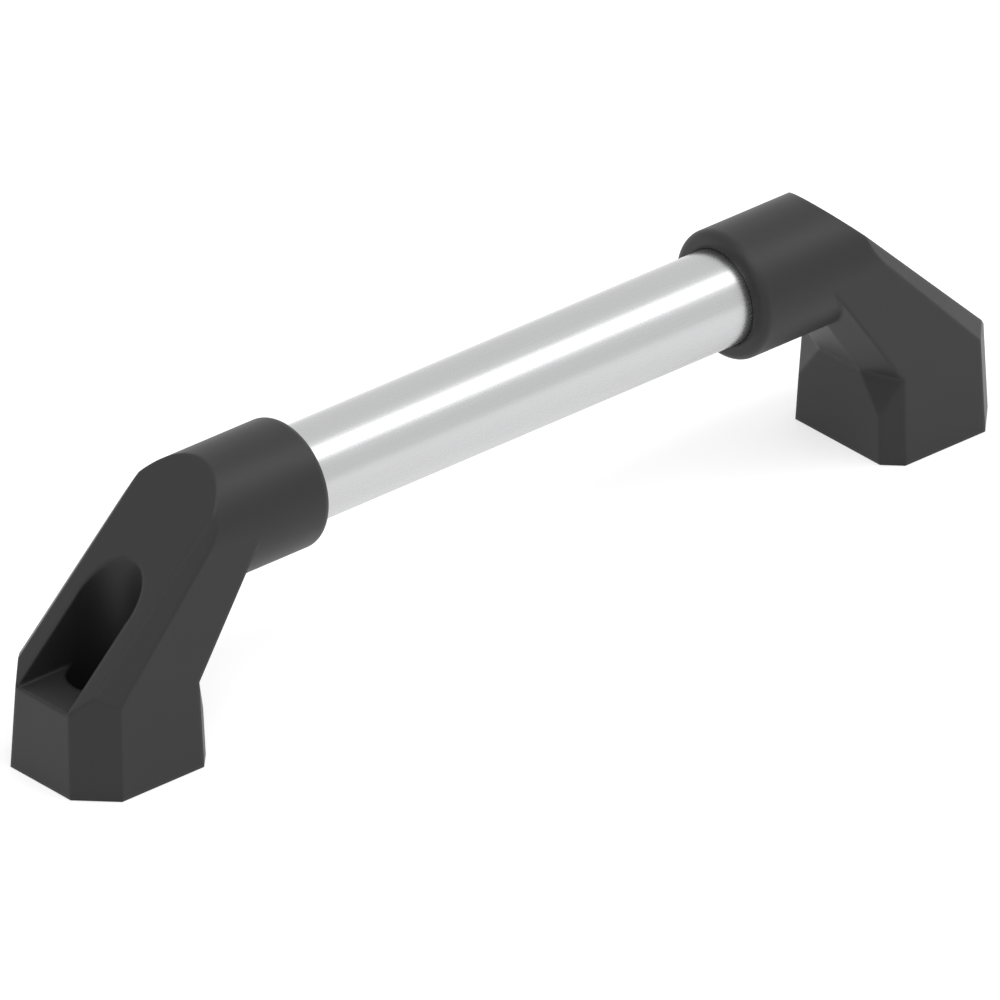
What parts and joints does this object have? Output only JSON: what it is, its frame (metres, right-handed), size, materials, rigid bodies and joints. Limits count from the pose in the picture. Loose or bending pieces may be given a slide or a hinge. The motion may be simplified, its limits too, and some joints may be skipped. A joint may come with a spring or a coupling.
{
  "type": "pull handle",
  "caption": "Straight pull handle: a round aluminium tube between angled moulded legs, each with a sloping outer face and a screw pocket cut into it.",
  "frame": {"origin": "on the mounting face, midway between the axes of the mounting screws", "axes": "+X along the grip tube towards the right leg, +Y across the handle, +Z out of the mounting face towards the tube"},
  "size_m": [0.338, 0.045, 0.081],
  "materials": {
    "tube": "satin anodised",
    "leg": "fine matt texture, dark grey",
    "set_screw": "plain"
  },
  "bodies": {
    "root": {"grip_tube": "tube", "left_leg": "leg", "right_leg": "leg", "left_set_screw": "set_screw", "right_set_screw": "set_screw"}
  },
  "joints": []
}
